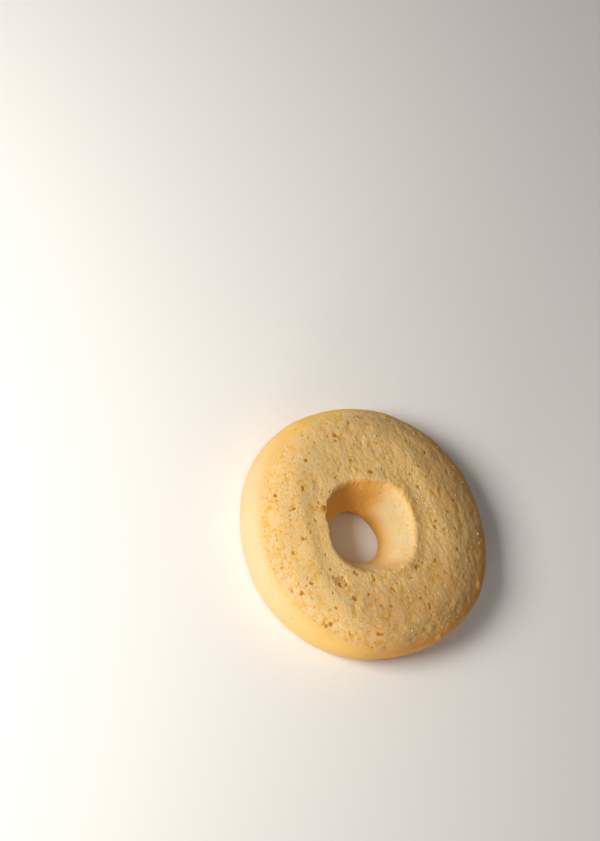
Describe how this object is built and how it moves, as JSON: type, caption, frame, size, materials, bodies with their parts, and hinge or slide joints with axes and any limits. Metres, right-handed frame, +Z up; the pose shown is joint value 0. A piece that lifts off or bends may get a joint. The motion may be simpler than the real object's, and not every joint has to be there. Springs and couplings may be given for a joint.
{
  "type": "ring butter cookie",
  "caption": "Ring-shaped baked butter cookie with a flat base, a domed pitted face and a funnel-shaped hole through its middle.",
  "frame": {"origin": "middle of the cookie's box, at the flat base that it lies on", "axes": "+Z up out of the pitted face; +Y away from the side whose smooth wall faces the camera; +X to the right of it"},
  "size_m": [0.061, 0.0592, 0.0128],
  "materials": {
    "crust": "pale golden baked dough, dull, with a fine sandy crumb, small browned pits and a browned base edge"
  },
  "bodies": {
    "root": {"cookie": "crust"}
  },
  "joints": []
}
